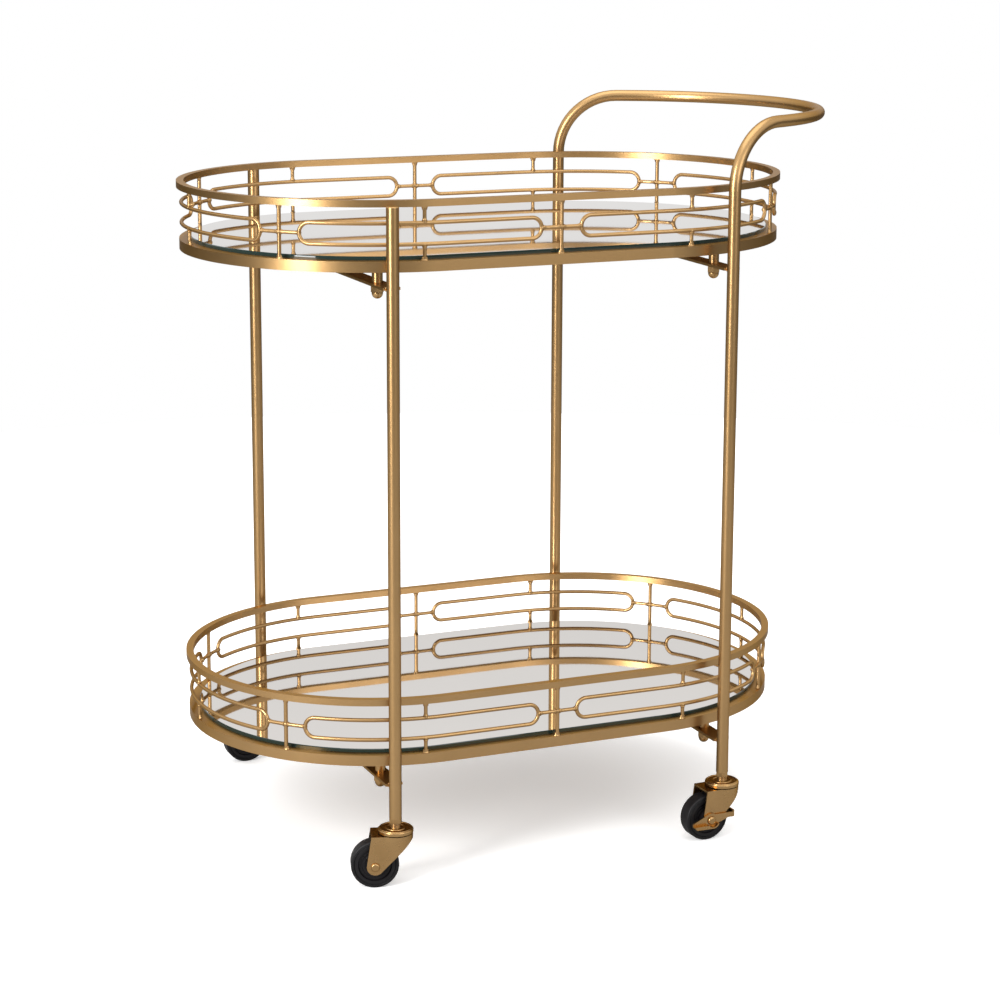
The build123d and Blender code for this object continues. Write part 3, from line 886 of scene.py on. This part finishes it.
@dataclass
class Studio:
    """The pale floor, the soft lights, the sky and the camera."""

    floor_radius: float = 2.4
    floor_sides: int = 96
    floor_cloud: Colour = (0.9, 0.9, 0.9)
    floor_colour: Colour = (0.93, 0.93, 0.93)
    floor_mirrored: Colour = (0.42, 0.42, 0.42)
    floor_lift: float = 0.28
    lights_aim: tuple[float, float, float] = (0.0, 0.0, 0.4)
    sensor: float = 36.0
    lens: float = 93.215
    place: tuple[float, float, float] = (-1.2087, -2.7912, 1.0805)
    heading: float = -0.40684
    tilt: float = 0.21042
    roll: float = 0.00381
    rise: float = -0.05
    sky: tuple[tuple[float, float], ...] = (
        (0.02, 0.20), (0.10, 0.92), (0.24, 0.90), (0.50, 1.35), (0.80, 1.10),
    )
    lights: tuple[tuple[str, float, tuple[float, float], tuple[float, float, float]], ...] = (
        ("key", 50.0, (0.55, 1.6), (-2.1, -1.05, 1.1)),
        ("fill", 17.0, (1.6, 1.6), (0.9, -3.0, 1.3)),
        ("top", 42.0, (2.8, 2.8), (0.0, 0.0, 3.2)),
    )

    def build(self) -> None:
        """Makes the floor, the lights, the sky and the camera."""
        self.build_floor()
        for name, power, size, place in self.lights:
            self.build_light(name, power, size, place)
        self.build_sky()
        self.build_camera()
        bpy.context.scene.view_settings.view_transform = "Standard"

    def build_floor(self) -> None:
        """Makes the round floor."""
        shader = Shader("pale floor")
        tone = shader.span(shader.noise(3.0, 2.0), 0.99, 1.0)
        white = shader.blend(tone, self.floor_cloud, self.floor_colour)
        seen = shader.tree.nodes.new("ShaderNodeLightPath").outputs["Is Camera Ray"]
        shader.link(shader.blend(seen, self.floor_mirrored, white), "Base Color")
        shader.link(shader.span(seen, 0.0, self.floor_lift), "Emission Strength")
        shader.set(emission_color=(1.0, 1.0, 1.0))
        shader.set(roughness=1.0, specular_ior_level=0.0)
        shape = bmesh.new()
        bmesh.ops.create_circle(
            shape, cap_ends=True, segments=self.floor_sides, radius=self.floor_radius
        )
        mesh = bpy.data.meshes.new("floor")
        shape.to_mesh(mesh)
        shape.free()
        mesh.materials.append(shader.material)
        floor = bpy.data.objects.new("floor", mesh)
        bpy.context.scene.collection.objects.link(floor)

    def build_light(
        self,
        name: str,
        power: float,
        size: tuple[float, float],
        place: tuple[float, float, float],
    ) -> None:
        """Makes one soft area light that faces the cart.

        Args:
            name: the light's name.
            power: watts.
            size: width and height in metres.
            place: its middle.
        """
        data = bpy.data.lights.new(name, "AREA")
        data.shape = "RECTANGLE"
        data.size, data.size_y = size
        data.energy = power
        lamp = bpy.data.objects.new(name, data)
        lamp.location = place
        lamp.visible_camera = False
        aim = Vector(self.lights_aim) - Vector(place)
        lamp.rotation_euler = aim.to_track_quat("-Z", "Y").to_euler()
        bpy.context.scene.collection.objects.link(lamp)

    def build_sky(self) -> None:
        """Makes the surround: a ramp of greys from the horizon up, and white to the camera."""
        world = bpy.data.worlds.new("studio")
        bpy.context.scene.world = world
        world.use_nodes = True
        tree = world.node_tree
        tree.nodes.clear()
        output = tree.nodes.new("ShaderNodeOutputWorld")
        background = tree.nodes.new("ShaderNodeBackground")
        coordinates = tree.nodes.new("ShaderNodeTexCoord")
        split = tree.nodes.new("ShaderNodeSeparateXYZ")
        ramp = tree.nodes.new("ShaderNodeValToRGB")
        ramp.color_ramp.elements.remove(ramp.color_ramp.elements[1])
        for i, (position, tone) in enumerate(self.sky):
            stops = ramp.color_ramp.elements
            stop = stops[0] if i == 0 else stops.new(position)
            stop.position = position
            stop.color = (tone, tone, tone, 1.0)
        tree.links.new(coordinates.outputs["Generated"], split.inputs["Vector"])
        tree.links.new(split.outputs["Z"], ramp.inputs["Fac"])
        lit = tree.nodes.new("ShaderNodeLightPath")
        mix = tree.nodes.new("ShaderNodeMix")
        mix.data_type = "RGBA"
        tree.links.new(lit.outputs["Is Camera Ray"], mix.inputs[0])
        tree.links.new(ramp.outputs["Color"], mix.inputs[6])
        mix.inputs[7].default_value = (1.0, 1.0, 1.0, 1.0)
        tree.links.new(mix.outputs[2], background.inputs["Color"])
        tree.links.new(background.outputs["Background"], output.inputs["Surface"])

    def build_camera(self) -> None:
        """Makes the camera, a little above the trays and turned towards the handle end."""
        data = bpy.data.cameras.new("camera")
        data.sensor_width = self.sensor
        data.lens = self.lens
        data.shift_y = self.rise
        camera = bpy.data.objects.new("camera", data)
        camera.location = self.place
        camera.rotation_mode = "QUATERNION"
        level = Euler((math.pi / 2 - self.tilt, 0.0, self.heading)).to_quaternion()
        camera.rotation_quaternion = level @ Quaternion((0.0, 0.0, 1.0), self.roll)
        bpy.context.scene.collection.objects.link(camera)
        bpy.context.scene.camera = camera


def dress_nodes(materials: dict[Slot, bpy.types.Material]) -> None:
    """Gives every CAD node the finish of its slot.

    Args:
        materials: each slot's material.
    """
    for entry in frame["record"]["subparts"]:
        node = frame["nodes"][entry["node"]]
        for slot in node.material_slots:
            slot.material = materials[Slot(entry["material_slot"])]
        LOG.info("%s: %s", entry["node"], entry["material_slot"])


def main() -> None:
    """Builds the cart's finishes and small metalwork, then the studio round it."""
    logging.basicConfig(level=logging.INFO, format="%(name)s %(message)s")
    materials = {slot: finish.build() for slot, finish in FINISHES.items()}
    dress_nodes(materials)
    for tray in ("upper", "lower"):
        GalleryWelds("frame", Slot.GOLD_PAINT, materials, tray=tray).build()
    CrossbarWelds("frame", Slot.GOLD_PAINT, materials).build()
    SwivelDetails(materials).build()
    for corner in ("front_left", "front_right", "back_left", "back_right"):
        WheelDetails(corner, materials).build()
    Studio().build()


if __name__ == "__main__":
    main()
